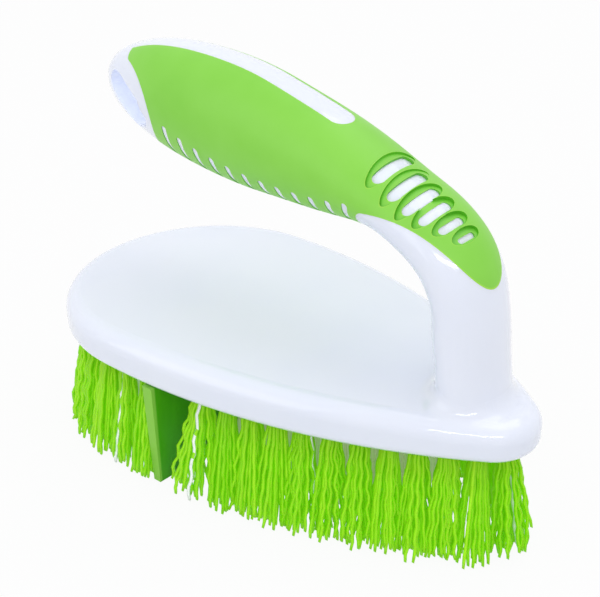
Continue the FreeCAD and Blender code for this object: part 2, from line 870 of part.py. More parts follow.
def slot_box(name, thickness, width, low, height):
    box = doc.addObject("Part::Box", name)
    box.setExpression("Length", thickness)
    box.setExpression("Width", width)
    box.setExpression("Height", height)
    middle = "Sizes.scraper_setback - Sizes.head_length / 2"
    box.setExpression("Placement.Base.x", f"{middle} - ({thickness}) / 2")
    box.setExpression("Placement.Base.y", f"-({width}) / 2")
    box.setExpression("Placement.Base.z", low)
    return box


def tuft_plate(groups):
    blank = egg_body("plate_blank", ("rim_wall", "fit_gap"), "Sizes.bristle_length + Sizes.plate_recess",
                     "Sizes.plate_thickness")
    plate_low = "Sizes.bristle_length + Sizes.plate_recess"
    tools = []
    for name, (x, y) in SCREWS.items():
        tools.append(bound_cylinder(
            name + "_boss_seat", "Sizes.boss_radius + Sizes.fit_gap", "Sizes.boss_height + Sizes.fit_gap",
            (x, y, PLATE_TOP + " - Sizes.boss_height - Sizes.fit_gap")))
        tools.append(bound_cylinder(
            name + "_way", "Sizes.screw_radius + Sizes.fit_gap", "Sizes.plate_thickness", (x, y, plate_low)))
        tools.append(bound_cylinder(
            name + "_head_seat", "Sizes.screw_head_radius + Sizes.fit_gap",
            "Sizes.plate_thickness - Sizes.boss_height - Sizes.fit_gap - Sizes.web_thickness",
            (x, y, plate_low)))
    width = "Sizes.tongue_width + 2 * Sizes.fit_gap"
    tools.append(slot_box("tongue_slot", "Sizes.blade_thickness + 2 * Sizes.fit_gap", width, plate_low,
                          "Sizes.plate_thickness"))
    tools.append(slot_box("flange_slot", "Sizes.flange_thickness + 2 * Sizes.fit_gap", width,
                          PLATE_TOP + " - Sizes.flange_height", "Sizes.flange_height"))
    seated = boolean("Cut", "seated_plate", blank, fuse_all("plate_cuts", tools))
    return boolean("Cut", "tuft_plate", seated, tuft_holes(groups))


# Scraper: a tapered blade whose flanged tongue is trapped between plate and head

def scraper_blade():
    body = doc.addObject("PartDesign::Body", "scraper_blade")
    middle = "Sizes.scraper_setback - Sizes.head_length / 2"
    flange_low = PLATE_TOP + " - Sizes.flange_height"
    half = []
    for thickness, level in (
            ("Sizes.flange_thickness", PLATE_TOP),
            ("Sizes.flange_thickness", flange_low),
            ("Sizes.blade_thickness", flange_low),
            ("Sizes.blade_thickness", "Sizes.bristle_length"),
            ("Sizes.blade_edge_thickness", "Sizes.blade_lift")):
        half.append((thickness, level))
    corners = [(f"{middle} + {thickness} / 2", level) for thickness, level in half]
    corners += [(f"{middle} - {thickness} / 2", level) for thickness, level in reversed(half)]
    section = polygon_sketch(body, "XZ_Plane", "blade_section", corners)
    pad = body.newObject("PartDesign::Pad", "blade_pad")
    pad.Profile = section
    pad.SideType = "Symmetric"
    pad.setExpression("Length", "Sizes.blade_width")
    for side, sign in (("left", ""), ("right", "-")):
        shoulder = "Sizes.bristle_length - Sizes.fit_gap"
        beyond = f"{sign}(Sizes.blade_width / 2 + Sizes.blade_thickness)"
        trim = polygon_sketch(body, "YZ_Plane", side + "_trim", (
            (f"{sign}Sizes.tongue_width / 2", PLATE_TOP + " + Sizes.fit_gap"),
            (f"{sign}Sizes.tongue_width / 2", shoulder),
            (f"{sign}Sizes.blade_width / 2", shoulder),
            (f"{sign}(Sizes.blade_width / 2 - Sizes.blade_end_taper)", "Sizes.blade_lift"),
            (f"{sign}(Sizes.blade_width / 2 - Sizes.blade_end_taper)", "0"),
            (beyond, "0"),
            (beyond, PLATE_TOP + " + Sizes.fit_gap"),
        ))
        pocket = body.newObject("PartDesign::Pocket", side + "_end")
        pocket.Profile = trim
        pocket.SideType = "Symmetric"
        pocket.setExpression("Length", "2 * Sizes.head_length")
    return body


# Assembly

def footed_handle(head, form):
    """Head and handle in one, with a fillet where the column stands on the crown."""
    doc.recompute()
    # joined shape by shape, as the fillet comes out unsound on the fuse feature
    joined = part_feature("head_and_handle", head.Shape.fuse(form.Shape))
    footed = doc.addObject("Part::Fillet", "footed_handle")
    footed.Base = joined
    edges = []
    for index, edge in enumerate(joined.Shape.Edges, 1):
        middle = Part.Vertex(edge.valueAt((edge.FirstParameter + edge.LastParameter) / 2))
        if edge.BoundBox.ZMin < plate_top or edge.BoundBox.ZMax > rim_top + size("foot_rise"):
            continue
        if all(item.Shape.Shells[0].distToShape(middle)[0] < TOUCH for item in (head, form)):
            edges.append((index, size("foot_fillet"), size("foot_fillet")))
    footed.Edges = edges
    return footed


def handle_body(form, grip, slot_floors, recesses, window_floors):
    whole = fuse_all("bossed_handle", [footed_handle(head_cover(), form)] + bosses())
    drilled = boolean("Cut", "drilled_head", whole, pilot_holes())
    eyed = boolean("Cut", "eyed_handle", drilled, hanging_eye())
    covered = boolean("Cut", "covered_handle", eyed, grip)
    slotted = boolean("Cut", "slotted_handle", covered, slot_floors)
    recessed = boolean("Cut", "recessed_handle", slotted, recesses)
    return boolean("Cut", "handle_body", recessed, window_floors)


form = handle_form()
in_region = boolean("Common", "grip_in_region", form, grip_region())
above_neck = boolean("Cut", "grip_above_neck", in_region, bare_neck())
hollow_grip = boolean("Cut", "hollow_grip", above_neck, core_form("core_form", size("grip_skin")))
grip_blank = boolean("Cut", "grip_blank", hollow_grip, bare_strip())
slots = part_feature("slots", Part.makeCompound(under_slots()))
windows = part_feature("windows", Part.makeCompound(neck_windows()))
recesses = part_feature("recesses", Part.makeCompound(window_recesses()))
slotted_grip = boolean("Cut", "slotted_grip", grip_blank, slots)
recessed_grip = boolean("Cut", "recessed_grip", slotted_grip, recesses)
soft_grip = boolean("Cut", "soft_grip", recessed_grip, windows)
slot_floors = boolean("Cut", "slot_floors", slots, core_form("slot_form", size("slot_depth")))
window_floors = boolean("Cut", "window_floors", windows, core_form("window_form", size("window_depth")))

groups = {**ring_groups(), **row_groups()}
handle = handle_body(form, soft_grip, slot_floors, recesses, window_floors)
sub_parts = [handle, soft_grip, tuft_plate(groups), scraper_blade(), plate_screws()]
sub_parts += tuft_nodes(groups)
doc.recompute()

# Every object has to be sound before anything is written
for item in doc.Objects:
    if "Invalid" in item.State or "Error" in item.State:
        raise RuntimeError(f"{item.Name} failed: {item.State}")
for item in sub_parts:
    if item.Shape.isNull() or not item.Shape.isValid():
        raise RuntimeError(f"{item.Label} has no valid shape")

os.makedirs("parts", exist_ok=True)
for item in sub_parts:
    item.Shape.exportStep(f"parts/{item.Label}.step")
    box = item.Shape.BoundBox
    print(f"{item.Label}: {len(item.Shape.Solids)} solids, {item.Shape.Volume:.0f} mm3, "
          f"x {box.XMin:.1f} to {box.XMax:.1f}, y {box.YMin:.1f} to {box.YMax:.1f}, "
          f"z {box.ZMin:.1f} to {box.ZMax:.1f}")
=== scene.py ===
import json
import math
import random

import bmesh
import bpy
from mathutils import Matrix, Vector


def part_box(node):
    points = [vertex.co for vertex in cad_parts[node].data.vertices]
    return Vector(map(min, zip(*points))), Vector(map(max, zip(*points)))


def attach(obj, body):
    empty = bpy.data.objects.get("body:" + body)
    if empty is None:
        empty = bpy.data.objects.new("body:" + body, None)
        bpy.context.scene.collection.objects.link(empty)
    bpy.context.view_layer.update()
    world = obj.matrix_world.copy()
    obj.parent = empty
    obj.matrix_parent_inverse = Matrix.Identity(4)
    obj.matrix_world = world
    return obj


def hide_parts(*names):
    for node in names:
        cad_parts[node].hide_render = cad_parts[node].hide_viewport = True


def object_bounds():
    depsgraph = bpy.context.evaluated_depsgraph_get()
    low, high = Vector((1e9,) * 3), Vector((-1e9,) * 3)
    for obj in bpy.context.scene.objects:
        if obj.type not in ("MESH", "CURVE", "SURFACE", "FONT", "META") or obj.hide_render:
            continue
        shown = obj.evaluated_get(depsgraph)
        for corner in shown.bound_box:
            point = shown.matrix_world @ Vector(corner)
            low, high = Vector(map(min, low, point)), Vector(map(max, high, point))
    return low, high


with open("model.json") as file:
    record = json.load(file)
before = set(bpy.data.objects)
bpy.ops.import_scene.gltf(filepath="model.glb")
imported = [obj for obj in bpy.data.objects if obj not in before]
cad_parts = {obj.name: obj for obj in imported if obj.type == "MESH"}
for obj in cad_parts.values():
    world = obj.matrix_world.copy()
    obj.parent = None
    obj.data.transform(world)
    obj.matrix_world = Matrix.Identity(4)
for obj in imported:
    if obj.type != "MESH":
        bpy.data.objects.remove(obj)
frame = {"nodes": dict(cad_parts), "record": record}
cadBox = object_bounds()
mm = 0.001
fullTurn = 2 * math.pi
scene = bpy.context.scene
scene.view_settings.view_transform = "Standard"
print("frame loaded with", len(frame["nodes"]), "nodes")


# a shader socket that can be used in sums
class Wire:
    def __init__(self, tree, socket):
        self.tree = tree
        self.socket = socket

    def join(self, operation, first, second):
        made = self.tree.nodes.new("ShaderNodeMath")
        made.operation = operation
        for plug, value in zip(made.inputs, (first, second)):
            setPlug(self.tree, plug, value)
        return Wire(self.tree, made.outputs[0])

    def __add__(self, other):
        return self.join("ADD", self, other)

    def __radd__(self, other):
        return self.join("ADD", other, self)

    def __sub__(self, other):
        return self.join("SUBTRACT", self, other)

    def __rsub__(self, other):
        return self.join("SUBTRACT", other, self)

    def __mul__(self, other):
        return self.join("MULTIPLY", self, other)

    def __rmul__(self, other):
        return self.join("MULTIPLY", other, self)

    def __abs__(self):
        return self.join("ABSOLUTE", self, 0.0)


def setPlug(tree, plug, value):
    if isinstance(value, Wire):
        tree.links.new(value.socket, plug)
    elif isinstance(value, tuple) and len(value) == 3 and plug.type == "RGBA":
        plug.default_value = (*value, 1.0)
    else:
        plug.default_value = value


# one material's node tree
class Finish:
    def __init__(self, name, world=None):
        self.material = world or bpy.data.materials.new(name)
        self.material.use_nodes = True
        self.tree = self.material.node_tree
        self.tree.nodes.clear()

    def node(self, kind, settings=None, plugs=None, out=0):
        made = self.tree.nodes.new("ShaderNode" + kind)
        for key, value in (settings or {}).items():
            if key == "stops":
                for stop, (place, tone) in zip(made.color_ramp.elements, value):
                    stop.position = place
                    stop.color = (tone, tone, tone, 1.0)
            else:
                setattr(made, key, value)
        for key, value in (plugs or {}).items():
            setPlug(self.tree, made.inputs[key], value)
        return Wire(self.tree, made.outputs[out]) if made.outputs else None

    def place(self):
        return self.node("TexCoord", out="Object")

    # a grain gives its size, and its detail, rough and stretch where they aren't the usual ones
    def noise(self, grain):
        stretch = grain.get("stretch", (1.0, 1.0, 1.0))
        spot = self.node("Mapping", plugs={"Vector": self.place(), "Scale": stretch})
        return self.node("TexNoise", plugs={
            "Vector": spot,
            "Scale": 1 / grain["size"],
            "Detail": grain.get("detail", 2.0),
            "Roughness": grain.get("rough", 0.5),
        })

    def ramp(self, value, limits):
        low, high = limits
        return self.node("ValToRGB", {"stops": [(low, 0.0), (high, 1.0)]}, {"Fac": value})

    def patches(self, grain):
        return self.ramp(self.noise(grain), grain["limits"])

    def span(self, value, start, stop):
        plugs = {"Value": value, "From Min": start, "From Max": stop}
        return self.node("MapRange", {"clamp": True}, plugs)

    # the Mix node's colour sockets share their names with others, so they go by number
    def blend(self, mask, first, second):
        return self.node("Mix", {"data_type": "RGBA"}, {0: mask, 6: first, 7: second}, out=2)

    def bump(self, height, grain, under=None):
        plugs = {"Height": height, "Distance": grain["depth"], "Strength": grain["strength"]}
        if under:
            plugs["Normal"] = under
        return self.node("Bump", plugs=plugs)

    def relief(self, grain, under=None):
        return self.bump(self.noise(grain), grain, under)

    # 1 deep in a recess, 0 on an open face
    def shelter(self, reach, limits):
        opened = self.node("AmbientOcclusion", {"samples": 6}, {"Distance": reach}, out="AO")
        return self.ramp(1.0 - opened, limits)

    # through is the share and the tint of the light that comes through
    def surface(self, plugs, through=None):
        shader = self.node("BsdfPrincipled", plugs=plugs)
        if through:
            share, tint = through
            lit = self.node("BsdfTranslucent", plugs={"Color": tint})
            shader = self.node("MixShader", plugs={0: share, 1: shader, 2: lit})
        self.node("OutputMaterial", plugs={"Surface": shader})
        return self.material


def dress(nodeName, material):
    obj = frame["nodes"][nodeName]
    if obj.material_slots:
        obj.material_slots[0].material = material
    else:
        obj.data.materials.append(material)


# glossy moulded white of the head and handle; a painted glow in the recess round the eye stands in for
# light coming through the wall
glossWhite = {
    "colour": (0.815, 0.845, 0.965),
    "cool": (0.79, 0.825, 0.96),
    "drift": {"size": 38 * mm, "limits": (0.38, 0.66)},
    "gloss": 0.08,
    "smudgeRough": 0.05,
    "smudges": {"size": 9 * mm, "detail": 4.0, "rough": 0.6, "limits": (0.48, 0.72)},
    "sink": {"size": 16 * mm, "detail": 1.0, "depth": 0.05 * mm, "strength": 0.12},
    "peel": {"size": 0.9 * mm, "depth": 0.012 * mm, "strength": 0.12},
    "coat": 0.6,
    "coatRough": 0.03,
    "ior": 1.48,
    "milk": 0.5,
    "milkDepth": 1.2 * mm,
    # painted glow: where and how strongly the recess round the eye glows
    "eyeReach": 12.0 * mm,
    "eyeFade": 0.8,
    "eyeLimits": (0.2, 0.5),
    "eyePaintedGlowColour": (0.8, 0.87, 1.0),
    "eyePaintedGlowStrength": 0.17,
}


def eyePlace():
    mounts = {mount["name"]: mount for mount in frame["record"]["mounts"]}
    return tuple(mounts["hanging_eye"]["pos_m"])


def makeGlossWhite(look):
    fin = Finish("glossWhitePlastic")
    colour = fin.blend(fin.patches(look["drift"]), look["colour"], look["cool"])
    rough = look["gloss"] + fin.patches(look["smudges"]) * look["smudgeRough"]
    peel = fin.relief(look["peel"], fin.relief(look["sink"]))
    # painted glow: pale blue emission in the sheltered recess round the eye, fading away from it
    ends = {0: fin.place(), 1: eyePlace()}
    away = fin.node("VectorMath", {"operation": "DISTANCE"}, ends, out="Value")
    near = fin.span(away, look["eyeReach"], look["eyeReach"] * look["eyeFade"])
    inside = fin.shelter(look["eyeReach"], look["eyeLimits"]) * near
    light = fin.blend(inside, (0.0, 0.0, 0.0), look["eyePaintedGlowColour"])
    return fin.surface({
        "Base Color": colour,
        "Roughness": rough,
        "Normal": peel,
        "Coat Weight": look["coat"],
        "Coat Roughness": look["coatRough"],
        "IOR": look["ior"],
        "Subsurface Weight": look["milk"],
        "Subsurface Scale": look["milkDepth"],
        "Subsurface Radius": (1.0, 1.0, 1.0),
        "Emission Color": light,
        "Emission Strength": look["eyePaintedGlowStrength"],
    })


# soft-touch green skin, satin with a fine stipple, a painted highlight along its edges and painted
# shade in its recesses
softGreen = {
    "colour": (0.255, 0.67, 0.065),
    "deep": (0.22, 0.625, 0.045),
    "drift": {"size": 24 * mm, "detail": 3.0, "limits": (0.36, 0.68)},
    # painted shade: the darker green put into recesses
    "paintedHollowShade": (0.13, 0.54, 0.022),
    "hollowReach": 4.6 * mm,
    "hollowLimits": (0.03, 0.24),
    # painted highlight: the lighter colour laid along the skin's edges
    "edge": (0.44, 0.77, 0.07),
    "edgeWidth": 0.4 * mm,
    "edgeLimits": (0.02, 0.2),
    "edgeShare": 0.6,
    "rough": 0.42,
    "wornRough": 0.1,
    "worn": {"size": 7 * mm, "detail": 4.0, "rough": 0.65, "limits": (0.5, 0.75)},
    "edgeGloss": 0.08,
    "stipple": {"size": 0.45 * mm, "depth": 0.03 * mm, "strength": 0.35},
    "sway": {"size": 11 * mm, "detail": 1.0, "depth": 0.05 * mm, "strength": 0.1},
}


def makeSoftGreen(look):
    fin = Finish("softGreenRubber")
    skin = fin.blend(fin.patches(look["drift"]), look["colour"], look["deep"])
    # painted highlight along edges, found where the bevelled normal turns from the true one; the same
    # mask also lowers roughness there
    rounded = fin.node("Bevel", {"samples": 4}, {"Radius": look["edgeWidth"]})
    flat = fin.node("NewGeometry", out="Normal")
    turn = fin.node("VectorMath", {"operation": "DOT_PRODUCT"}, {0: rounded, 1: flat}, out="Value")
    edge = fin.ramp(1.0 - turn, look["edgeLimits"])
    withEdgeHighlight = fin.blend(edge * look["edgeShare"], skin, look["edge"])
    # painted shade: recesses darkened through the ambient occlusion mask
    colour = fin.blend(fin.shelter(look["hollowReach"], look["hollowLimits"]), withEdgeHighlight, look["paintedHollowShade"])
    rough = look["rough"] + fin.patches(look["worn"]) * look["wornRough"] - edge * look["edgeGloss"]
    sway = fin.relief(look["sway"], fin.relief(look["stipple"]))
    return fin.surface({"Base Color": colour, "Roughness": rough, "Normal": sway})


# hard green blade: flow marks down its height, painted light that makes its narrow faces paler, pale
# scuffs near the working edge
hardGreen = {
    "colour": (0.058, 0.38, 0.002),
    "flowColour": (0.075, 0.42, 0.004),
    "flow": {"size": 5 * mm, "detail": 3.0, "stretch": (1.0, 1.0, 0.12), "limits": (0.36, 0.68)},
    # painted light: the lighter green of the blade's narrow faces
    "end": (0.27, 0.62, 0.075),
    "endTaper": 2.0 * mm,
    "endDepth": 0.5 * mm,
    "scuff": (0.3, 0.66, 0.1),
    "scuffTop": 9 * mm,
    "scuffShare": 0.6,
    "scratches": {"size": 0.8 * mm, "detail": 3.0, "stretch": (1.0, 1.0, 0.1), "limits": (0.56, 0.68)},
    "rough": 0.34,
    "flowRough": 0.08,
    "scuffRough": 0.3,
    "ripple": {"size": 2.2 * mm, "stretch": (1.0, 1.0, 0.2), "depth": 0.03 * mm, "strength": 0.2},
    "shine": 0.14,
}


def makeHardGreen(look):
    fin = Finish("hardGreenPlastic")
    low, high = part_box("scraper_blade")
    flow = fin.patches(look["flow"])
    plain = fin.blend(flow, look["colour"], look["flowColour"])
    height = fin.node("SeparateXYZ", plugs={"Vector": fin.place()}, out="Z")
    width = fin.node("SeparateXYZ", plugs={"Vector": fin.place()}, out="Y")
    # painted light: mask of the narrow faces, which tapers with height
    taper = fin.span(height, high.z, low.z) * look["endTaper"]
    end = fin.span(abs(width) + taper, high.y - 2 * look["endDepth"], high.y - look["endDepth"])
    base = fin.blend(end, plain, look["end"])
    scuffed = fin.patches(look["scratches"]) * fin.span(height, low.z + look["scuffTop"], low.z)
    colour = fin.blend(scuffed * look["scuffShare"], base, look["scuff"])
    rough = look["rough"] + flow * look["flowRough"] + scuffed * look["scuffRough"]
    return fin.surface({
        "Base Color": colour,
        "Roughness": rough,
        "Normal": fin.relief(look["ripple"]),
        "Specular IOR Level": look["shine"],
    })


# matt underside plate
platePlastic = {
    "colour": (0.78, 0.81, 0.88),
    "grey": (0.7, 0.74, 0.8),
    "drift": {"size": 14 * mm, "detail": 4.0, "limits": (0.38, 0.7)},
    "driftShare": 0.8,
    "specks": {"size": 1.1 * mm, "limits": (0.66, 0.74)},
    "speckShare": 0.2,
    "rough": 0.48,
    "driftRough": 0.12,
    "grain": {"size": 0.4 * mm, "depth": 0.03 * mm, "strength": 0.4},
}


def makePlatePlastic(look):
    fin = Finish("mattPlatePlastic")
    drift = fin.patches(look["drift"])
    mix = drift * look["driftShare"] + fin.patches(look["specks"]) * look["speckShare"]
    colour = fin.blend(mix, look["colour"], look["grey"])
    rough = look["rough"] + drift * look["driftRough"]
    grain = fin.relief(look["grain"])
    return fin.surface({"Base Color": colour, "Roughness": rough, "Normal": grain})


# drawn steel of the anchor strips and screws
drawnSteel = {
    "colour": (0.57, 0.57, 0.59),
    "dark": (0.4, 0.4, 0.43),
    "darkLimits": (0.35, 0.7),
    "lines": {
        "size": 0.5 * mm, "detail": 3.0, "stretch": (0.08, 1.0, 1.0),
        "depth": 0.02 * mm, "strength": 0.3,
    },
    "rough": 0.3,
    "lineRough": 0.15,
    "roughLimits": (0.4, 0.7),
}


def makeDrawnSteel(look):
    fin = Finish("drawnSteel")
    lines = fin.noise(look["lines"])
    colour = fin.blend(fin.ramp(lines, look["darkLimits"]), look["colour"], look["dark"])
    rough = look["rough"] + fin.ramp(lines, look["roughLimits"]) * look["lineRough"]
    grain = fin.bump(lines, look["lines"])
    return fin.surface({"Base Color": colour, "Roughness": rough, "Metallic": 1.0, "Normal": grain})


# crimped filaments: each strand has its own tone, painted shade darkens it towards its root in the
# hole, and a painted glow stands in for light through it
strandTones = {
    "green": {"deep": (0.36, 0.84, 0.004), "light": (0.56, 0.97, 0.022)},
    # painted shade and painted green bounce light: the white strands' deep tone and the white stray
    # tone below are olive, on filaments that are white
    "white": {"deep": (0.66, 0.8, 0.46), "light": (0.88, 0.93, 0.82)},
    "stray": {"green": (0.86, 0.91, 0.86), "white": (0.76, 0.88, 0.6)},
    "toneShare": 0.8,
    "patchShare": 0.3,
    "toneDrop": 0.08,
    "patch": {"size": 3.2 * mm, "stretch": (1.0, 1.0, 0.3)},
    "rootShade": 0.8,
    "rootLimits": (0.08, 0.42),  # shares of a strand's length
    "rough": 0.4,
    "drawnRough": 0.12,
    "drawn": {"size": 0.35 * mm, "stretch": (1.0, 1.0, 0.1), "depth": 0.02 * mm, "strength": 0.25},
    "lit": {"green": (0.46, 0.9, 0.012), "white": (0.74, 0.88, 0.58)},
    "through": 0.4,
    # painted glow: strength of the light the strands give off themselves
    "glow": 0.18,
}


def makeStrandFinish(kind, looks):
    fin = Finish(kind + "Filament")
    tone, stray, run = (
        fin.node("Attribute", {"attribute_name": name}, out="Fac")
        for name in ("tone", "stray", "run")
    )
    patch = fin.noise(looks["patch"])
    mix = tone * looks["toneShare"] + patch * looks["patchShare"] - looks["toneDrop"]
    own = fin.blend(mix, looks[kind]["deep"], looks[kind]["light"])
    bare = fin.blend(stray, own, looks["stray"][kind])
    # painted shade: the strand's colour darkens towards its root
    outside = fin.ramp(run, looks["rootLimits"])
    shade = outside * (1 - looks["rootShade"]) + looks["rootShade"]
    grey = fin.node("CombineXYZ", plugs={0: shade, 1: shade, 2: shade})
    colour = fin.node("VectorMath", {"operation": "MULTIPLY"}, {0: bare, 1: grey})
    drawn = fin.noise(looks["drawn"])
    rough = looks["rough"] + drawn * looks["drawnRough"]
    share = (1.0 - stray) * looks["through"]
    plugs = {
        "Base Color": colour,
        "Roughness": rough,
        "Normal": fin.bump(drawn, looks["drawn"]),
        # painted glow, standing in for light passing through the strands
        "Emission Color": colour,
        "Emission Strength": looks["glow"],
    }
    return fin.surface(plugs, (share, looks["lit"][kind]))


dress("handle_body", makeGlossWhite(glossWhite))
dress("soft_grip", makeSoftGreen(softGreen))
dress("scraper_blade", makeHardGreen(hardGreen))
dress("tuft_plate", makePlatePlastic(platePlastic))
steel = makeDrawnSteel(drawnSteel)
dress("tuft_anchors", steel)
dress("plate_screws", steel)
filaments = {kind: makeStrandFinish(kind, strandTones) for kind in ("green", "white")}
print("materials made")


# every tuft node becomes a bundle of crimped filaments
tuftStyle = {
    "strands": 32,
    "sides": 3,
    "rings": 17,
    "thick": 1.14 * mm,
    "tipTaper": 0.8,
    "rootDepth": 1.4 * mm,  # how far up inside its hole a strand starts
    "rootFill": 0.95,
    "tipFill": 1.62,
    "tipJitter": 0.35 * mm,
    "fan": 0.8,
    "crimpLength": 6.8 * mm,
    "crimpLengths": (0.9, 1.12),
    "crimpDepth": 0.4 * mm,
    "crimpDepths": (0.5, 1.2),
    "crimpScatter": 0.45,
    "crimpTurn": 0.4,
    "stiffRun": 6.0 * mm,  # the crimp grows from nothing over this length
    "sway": 0.6 * mm,
    "tuftStep": 1.0 * mm,
    "tipScatter": 2.2 * mm,
    "tipSpread": 0.45,
    "shortShare": 0.12,
    "shortBy": 2.6 * mm,
    "shortLeast": 0.3,
    "wildShare": 0.12,
    "wildReach": 3.6 * mm,
    "bladeRoom": 2.3 * mm,
    "bladeLean": 5.5 * mm,
    "leanReach": 17.0 * mm,
    "toneMiddle": 0.5,
    "toneScatter": 0.22,
    "tuftTone": 0.15,
    "strayShare": {"green": 0.02, "white": 0.12},
    "mergeGap": 0.002 * mm,
    "levelGap": 0.05 * mm,
    "sortDigits": 5,
    "seed": 17,
}


# straight strand of unit radius and length, which stands on z = 0
def makeStrand(style):
    bm = bmesh.new()
    bmesh.ops.create_cone(
        bm, cap_ends=True, cap_tris=False, segments=style["sides"],
        radius1=1.0, radius2=1.0, depth=1.0,
    )
    bmesh.ops.translate(bm, verts=bm.verts, vec=(0.0, 0.0, 0.5))
    long = [e for e in bm.edges if abs(e.verts[0].co.z - e.verts[1].co.z) > 0.5]
    bmesh.ops.subdivide_edges(bm, edges=long, cuts=style["rings"] - 1)
    for name in ("tone", "stray", "run"):
        bm.verts.layers.float.new(name)
    run = bm.verts.layers.float["run"]
    for vert in bm.verts:
        vert[run] = vert.co.z
    for face in bm.faces:
        face.smooth = abs(face.normal.z) < 0.5  # the two caps stay flat
    mesh = bpy.data.meshes.new("strand")
    bm.to_mesh(mesh)
    bm.free()
    return mesh


# vertices of each loose shell in a mesh
def looseShells(bm):
    waiting = set(bm.verts)
    shells = []
    while waiting:
        first = waiting.pop()
        shell = [first]
        front = [first]
        while front:
            vert = front.pop()
            for link in vert.link_edges:
                other = link.other_vert(vert)
                if other in waiting:
                    waiting.remove(other)
                    shell.append(other)
                    front.append(other)
        shells.append(shell)
    return shells


# middle and reach of a tuft's root and tip, read from a merged copy of the node's mesh
def readTufts(nodeName, style):
    bm = bmesh.new()
    bm.from_mesh(frame["nodes"][nodeName].data)
    bmesh.ops.remove_doubles(bm, verts=bm.verts, dist=style["mergeGap"])
    tufts = []
    for shell in looseShells(bm):
        heights = [vert.co.z for vert in shell]
        ends = []
        for level in (max(heights), min(heights)):
            ring = [vert.co for vert in shell if abs(vert.co.z - level) < style["levelGap"]]
            middle = Vector((
                (min(c.x for c in ring) + max(c.x for c in ring)) / 2,
                (min(c.y for c in ring) + max(c.y for c in ring)) / 2,
                level,
            ))
            ends.append((middle, max((c - middle).length for c in ring)))
        tufts.append(ends)
    bm.free()
    digits = style["sortDigits"]
    tufts.sort(key=lambda ends: (round(ends[0][0].x, digits), round(ends[0][0].y, digits)))
    return tufts


def sideways(turn):
    return Vector((math.cos(turn), math.sin(turn), 0.0))


def growTufts(nodeName, kind, style, strand, rand):
    bm = bmesh.new()
    low, high = cadBox
    half = style["thick"] / 2
    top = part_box("tuft_plate")[0].z + style["rootDepth"]
    golden = math.pi * (3 - math.sqrt(5))  # this turn spreads the strands evenly
    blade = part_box("scraper_blade")
    bladeX = (blade[0].x + blade[1].x) / 2
    for (root, rootReach), (tip, tipReach) in readTufts(nodeName, style):
        slope = (tip - root) / (root.z - tip.z)
        start = root + slope * (root.z - top)
        leftEnd = low.x + half if root.x < bladeX else bladeX + style["bladeRoom"]
        rightEnd = bladeX - style["bladeRoom"] if root.x < bladeX else high.x - half
        # the first green tufts behind the blade splay towards it
        leans = kind == "green" and 0 < root.x - bladeX < style["leanReach"]
        lean = style["bladeLean"] if leans else 0.0
        tuftTurn = rand.uniform(0, fullTurn)
        tuftPhase = rand.uniform(0, fullTurn)
        tuftWay = rand.uniform(0, fullTurn)
        tuftLift = rand.uniform(0, style["tuftStep"])
        tuftTone = rand.uniform(-style["tuftTone"], style["tuftTone"])
        for k in range(style["strands"]):
            share = math.sqrt((k + 0.5) / style["strands"])
            arm = sideways(tuftTurn + k * golden)
            rootArm = arm * share * max(rootReach * style["rootFill"] - half, 0.0)
            tipArm = arm * share * max(tipReach * style["tipFill"] - half, 0.0)
            tipArm.x += rand.gauss(0, style["tipJitter"])
            tipArm.y += rand.gauss(0, style["tipJitter"])
            tipArm.x -= lean * (1 - arm.x * share) / 2
            if rand.random() < style["wildShare"]:
                wildWay = sideways(rand.uniform(0, fullTurn))
                tipArm += wildWay * style["wildReach"] * rand.random()
            lift = tuftLift + abs(rand.gauss(0, style["tipSpread"])) * style["tipScatter"]
            if rand.random() < style["shortShare"]:
                lift += rand.uniform(style["shortLeast"], 1.0) * style["shortBy"]
            if k == 0:
                lift = 0.0  # one strand of each tuft reaches the floor
            wave = style["crimpLength"] * rand.uniform(*style["crimpLengths"])
            depth = style["crimpDepth"] * rand.uniform(*style["crimpDepths"])
            phase = tuftPhase + rand.gauss(0, style["crimpScatter"])
            across = sideways(tuftWay + rand.gauss(0, style["crimpTurn"]))
            bendWay = sideways(rand.uniform(0, fullTurn))
            bend = bendWay * style["sway"] * rand.random()
            tone = rand.gauss(style["toneMiddle"], style["toneScatter"]) + tuftTone
            stray = 1.0 if rand.random() < style["strayShare"][kind] else 0.0
            length = top - tip.z - lift
            before = len(bm.verts)
            bm.from_mesh(strand)
            bm.verts.ensure_lookup_table()
            toneLayer = bm.verts.layers.float["tone"]
            strayLayer = bm.verts.layers.float["stray"]
            for vert in bm.verts[before:]:
                down = vert.co.z * length
                out = max(down - style["rootDepth"], 0.0)
                free = min(out / style["stiffRun"], 1.0)
                spread = (out / (length - style["rootDepth"])) ** style["fan"]
                centre = start + slope * down + rootArm.lerp(tipArm, spread)
                centre.z = top - down
                centre += across * depth * free * math.sin(fullTurn * down / wave + phase)
                centre += bend * free * math.sin(math.pi * vert.co.z)
                centre.x = min(max(centre.x, leftEnd), rightEnd)
                centre.y = min(max(centre.y, low.y + half), high.y - half)
                radius = half * (style["tipTaper"] if vert.co.z > 0.999 else 1.0)  # last ring
                vert.co = centre + Vector((vert.co.x * radius, vert.co.y * radius, 0.0))
                vert[toneLayer] = min(max(tone, 0.0), 1.0)
                vert[strayLayer] = stray
    bmesh.ops.recalc_face_normals(bm, faces=bm.faces)
    mesh = bpy.data.meshes.new(nodeName + "_filaments")
    bm.to_mesh(mesh)
    bm.free()
    piece = bpy.data.objects.new(nodeName + "_filaments", mesh)
    scene.collection.objects.link(piece)
    mesh.materials.append(filaments[kind])
    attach(piece, "root")
    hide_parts(nodeName)
    return len(mesh.polygons)


